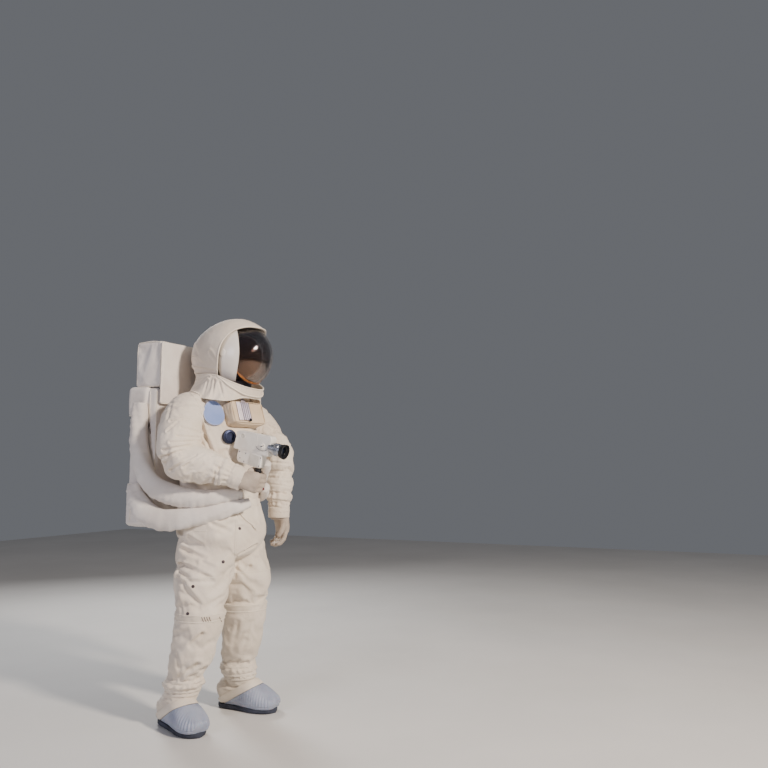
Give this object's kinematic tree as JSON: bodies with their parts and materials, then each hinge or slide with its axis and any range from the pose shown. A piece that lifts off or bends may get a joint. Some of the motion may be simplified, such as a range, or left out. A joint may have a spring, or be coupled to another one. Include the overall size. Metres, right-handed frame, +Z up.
{
  "type": "spacesuit display figure",
  "caption": "Standing life-size display figure in a Moon spacesuit with a life-support backpack, hooded helmet, gold visor and a hand-held film camera.",
  "frame": {"origin": "on the floor, in the middle of the figure's outline seen from above", "axes": "+Z up, the figure faces -Y, +X is the figure's left"},
  "size_m": [0.7683, 0.8321, 1.93],
  "materials": {
    "suit_fabric": "matt woven glass cloth",
    "pack_fabric": "matt woven glass cloth",
    "glove_rubber": "matt",
    "overshoe_rubber": "matt",
    "sole_rubber": "matt",
    "gold_film": "gold mirror film",
    "smoked_plastic": "gloss",
    "white_shell": "satin",
    "camera_paint": "satin",
    "lens_metal": "polished",
    "black_plastic": "satin",
    "bracket_metal": "satin",
    "connector_metal": "dark anodised",
    "ring_metal": "satin"
  },
  "bodies": {
    "suit": {"torso": "suit_fabric", "hips": "suit_fabric", "right_thigh": "suit_fabric", "right_knee_band": "suit_fabric", "right_shin": "suit_fabric", "right_boot_cuff": "suit_fabric", "right_boot_upper": "suit_fabric", "right_toe_cap": "overshoe_rubber", "right_boot_strap": "suit_fabric", "right_sole": "sole_rubber", "left_thigh": "suit_fabric", "left_knee_band": "suit_fabric", "left_shin": "suit_fabric", "left_boot_cuff": "suit_fabric", "left_boot_upper": "suit_fabric", "left_toe_cap": "overshoe_rubber", "left_boot_strap": "suit_fabric", "left_sole": "sole_rubber", "right_upper_arm": "suit_fabric", "right_forearm": "suit_fabric", "left_upper_arm": "suit_fabric", "left_forearm": "suit_fabric", "helmet_hood": "suit_fabric", "helmet_bubble": "smoked_plastic", "neck_ring": "ring_metal", "collar": "suit_fabric", "visor_rim": "white_shell", "backpack": "pack_fabric", "backpack_top_cover": "pack_fabric", "backpack_low_cover": "pack_fabric", "oxygen_pack": "pack_fabric", "oxygen_pack_apron": "pack_fabric", "chest_unit": "suit_fabric", "chest_unit_bracket": "bracket_metal", "connector_upper_right": "connector_metal", "connector_upper_left": "connector_metal", "connector_middle_left": "connector_metal", "connector_lower_right": "connector_metal", "connector_lower_left": "connector_metal", "right_hose_upper": "pack_fabric", "right_hose_lower": "pack_fabric", "left_hose_upper": "pack_fabric", "left_hose_lower": "pack_fabric", "right_wrist_ring": "ring_metal", "left_wrist_ring": "ring_metal"},
    "visor": {"gold_visor": "gold_film"},
    "eyeshade_right": {"right_eyeshade": "white_shell"},
    "eyeshade_left": {"left_eyeshade": "white_shell"},
    "hand_right": {"right_glove": "glove_rubber", "camera_handle": "black_plastic", "camera_body": "camera_paint", "camera_drive_block": "camera_paint", "camera_lens": "lens_metal", "lens_hood": "black_plastic", "camera_side_dial": "camera_paint"},
    "hand_left": {"left_glove": "glove_rubber"}
  },
  "joints": [
    {"name": "visor_lift", "type": "hinge", "parent": "suit", "child": "visor", "pos_m": [0.006, -0.068, 1.74], "axis": [-1, 0, 0], "range_deg": [0, 60]},
    {"name": "eyeshade_right_lift", "type": "hinge", "parent": "suit", "child": "eyeshade_right", "pos_m": [-0.1368, -0.068, 1.74], "axis": [-1, 0, 0], "range_deg": [0, 40]},
    {"name": "eyeshade_left_lift", "type": "hinge", "parent": "suit", "child": "eyeshade_left", "pos_m": [0.1488, -0.068, 1.74], "axis": [-1, 0, 0], "range_deg": [0, 40]},
    {"name": "wrist_right", "type": "hinge", "parent": "suit", "child": "hand_right", "pos_m": [-0.158, -0.191, 1.143], "axis": [0.4816, -0.7772, -0.405], "range_deg": [-3, 20]},
    {"name": "wrist_left", "type": "hinge", "parent": "suit", "child": "hand_left", "pos_m": [0.302, -0.115, 0.956], "axis": [-0.025, 0, -0.9997], "range_deg": [-15, 15]}
  ]
}
